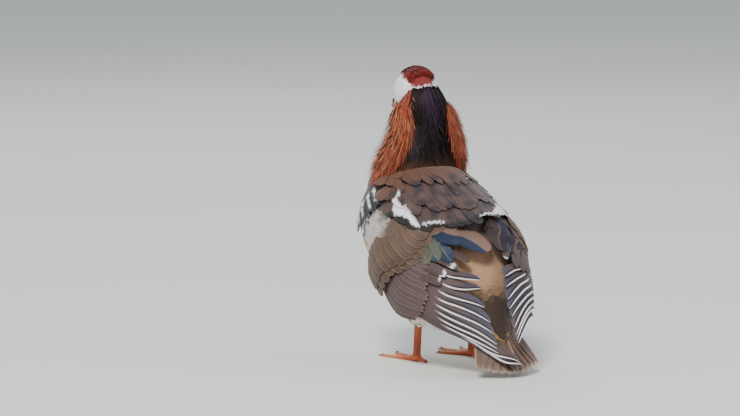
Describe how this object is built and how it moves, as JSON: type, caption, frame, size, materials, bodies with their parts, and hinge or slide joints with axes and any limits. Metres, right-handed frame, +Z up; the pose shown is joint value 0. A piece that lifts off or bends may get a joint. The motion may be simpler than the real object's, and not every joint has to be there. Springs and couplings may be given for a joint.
{
  "type": "mandarin duck",
  "caption": "Life-size standing mandarin drake with folded, drooping wings, a lowered tail, webbed feet and a long crest and side whiskers laid down the neck.",
  "frame": {"origin": "on the floor under the middle of the bird's box", "axes": "+Z up, +Y the way the body faces, +X to the bird's right"},
  "size_m": [0.1594, 0.2588, 0.2902],
  "materials": {
    "crown_feathers": "soft short chestnut-red feathers with a white band over the eye",
    "bill": "smooth horn, satin",
    "eye": "wet and glossy",
    "crest_feathers": "long silky dark feathers with orange-red side whiskers",
    "body_feathers": "soft overlapping feathers",
    "wing_feathers": "stiff vanes, satin",
    "tail_feathers": "stiff vanes, satin",
    "leg": "scaled skin, satin",
    "foot": "scaled skin and web, satin"
  },
  "bodies": {
    "root": {"head": "crown_feathers", "bill_upper": "bill", "bill_lower": "bill", "eye_left": "eye", "eye_right": "eye", "neck": "crest_feathers", "torso": "body_feathers", "wing_left": "wing_feathers", "wing_right": "wing_feathers", "tail": "tail_feathers", "leg_left": "leg", "leg_right": "leg", "foot_left": "foot", "foot_right": "foot"}
  },
  "joints": []
}
